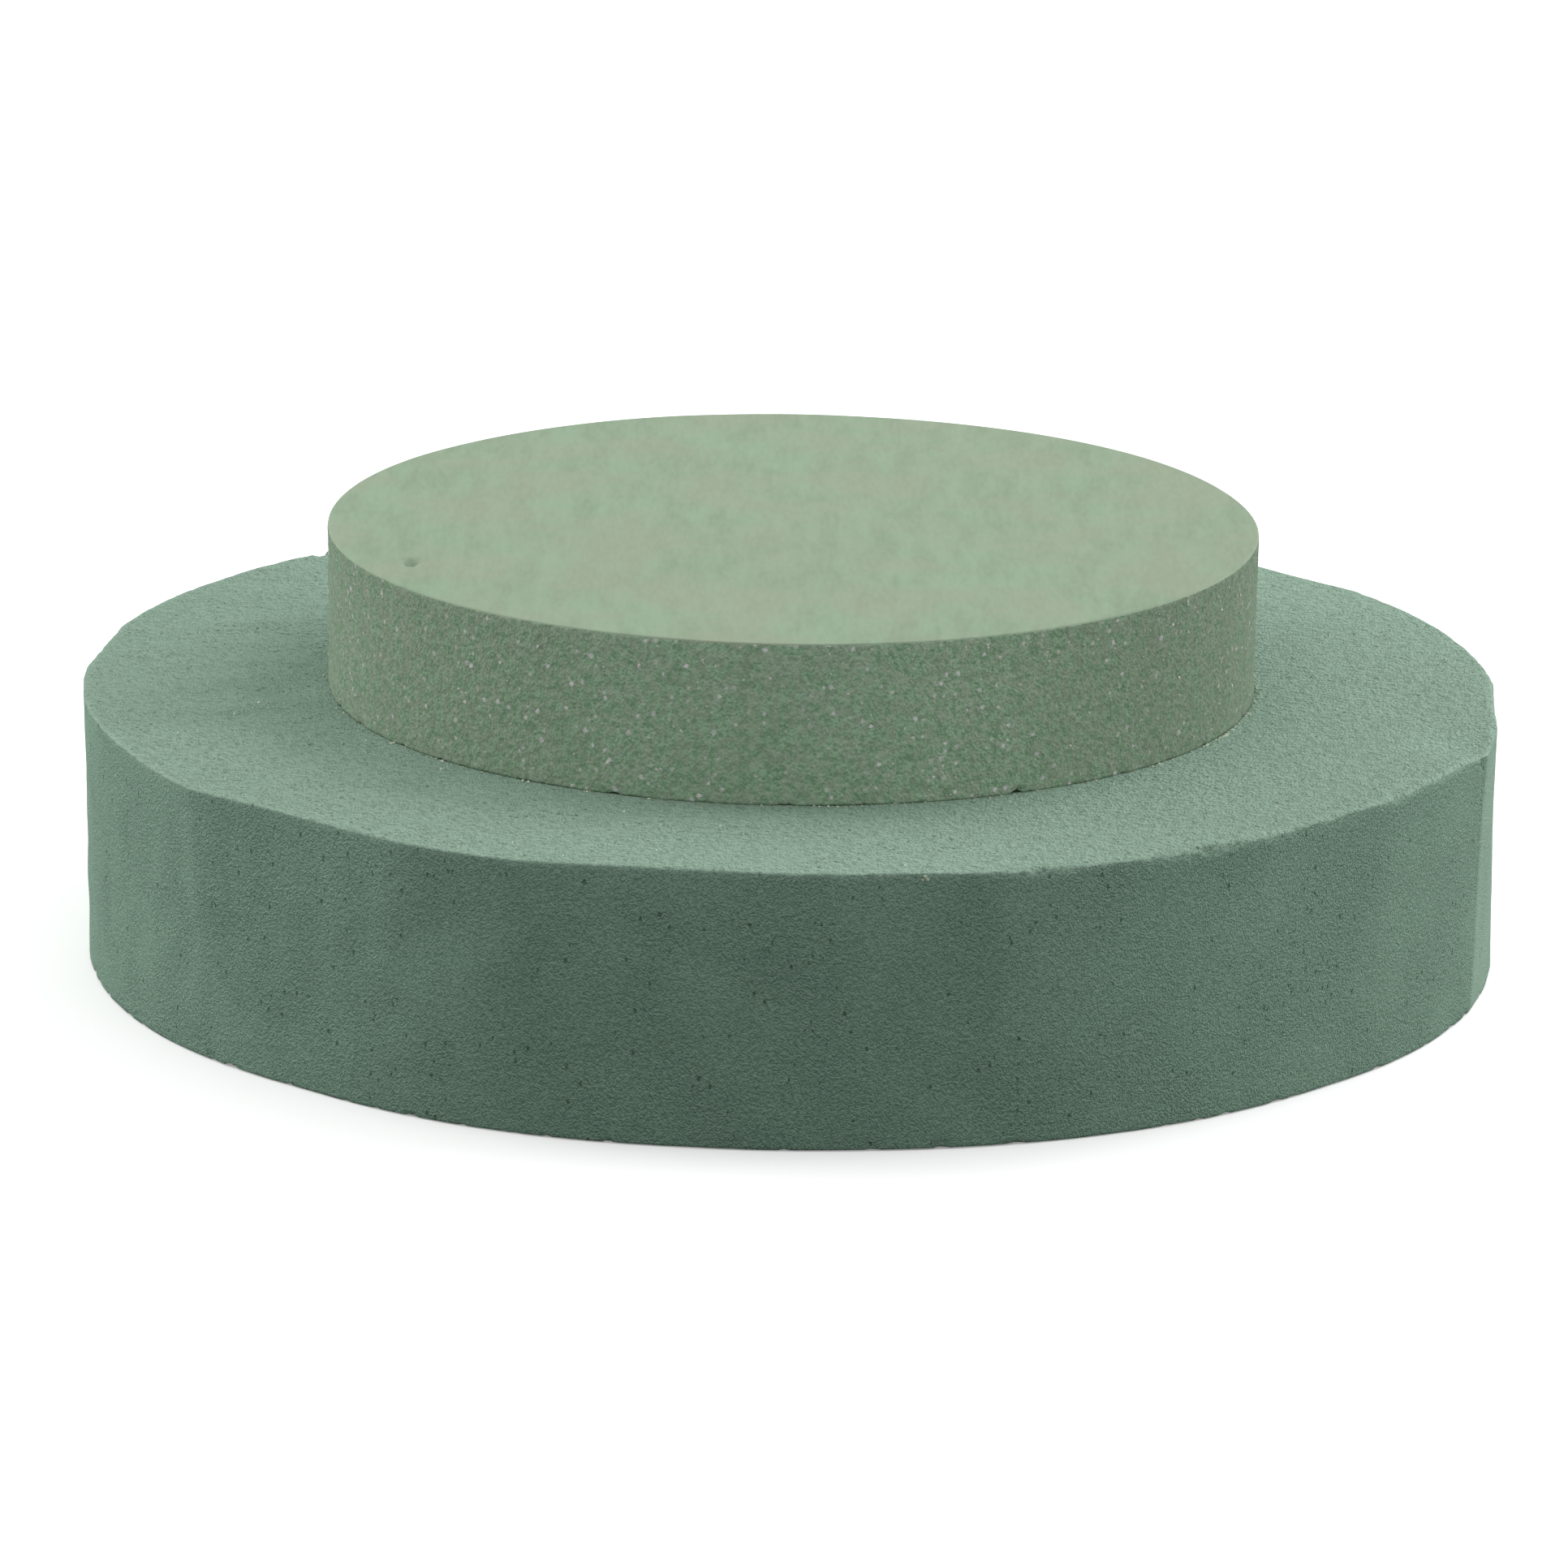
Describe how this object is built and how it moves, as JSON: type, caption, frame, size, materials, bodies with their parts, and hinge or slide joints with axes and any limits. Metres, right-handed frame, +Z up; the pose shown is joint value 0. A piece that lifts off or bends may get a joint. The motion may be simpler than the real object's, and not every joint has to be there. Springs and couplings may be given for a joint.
{
  "type": "stacked floral foam rounds",
  "caption": "Thick flower-arranging foam round with a smaller foam round resting loose and centred on top of it.",
  "frame": {"origin": "on the surface that the large round stands on, under the centre of its footprint", "axes": "+Z up along both rounds' axis, through their thickness; the front is towards -Y"},
  "size_m": [0.3012, 0.2998, 0.0931],
  "materials": {
    "lower_foam": "matt",
    "upper_foam": "matt"
  },
  "bodies": {
    "lower_disc": {"lower_foam_disc": "lower_foam"},
    "upper_disc": {"upper_foam_disc": "upper_foam"}
  },
  "joints": [
    {"name": "upper_disc_lift", "type": "slide", "parent": "lower_disc", "child": "upper_disc", "axis": [0, 0, 1], "range_m": [0, 0.08]}
  ]
}
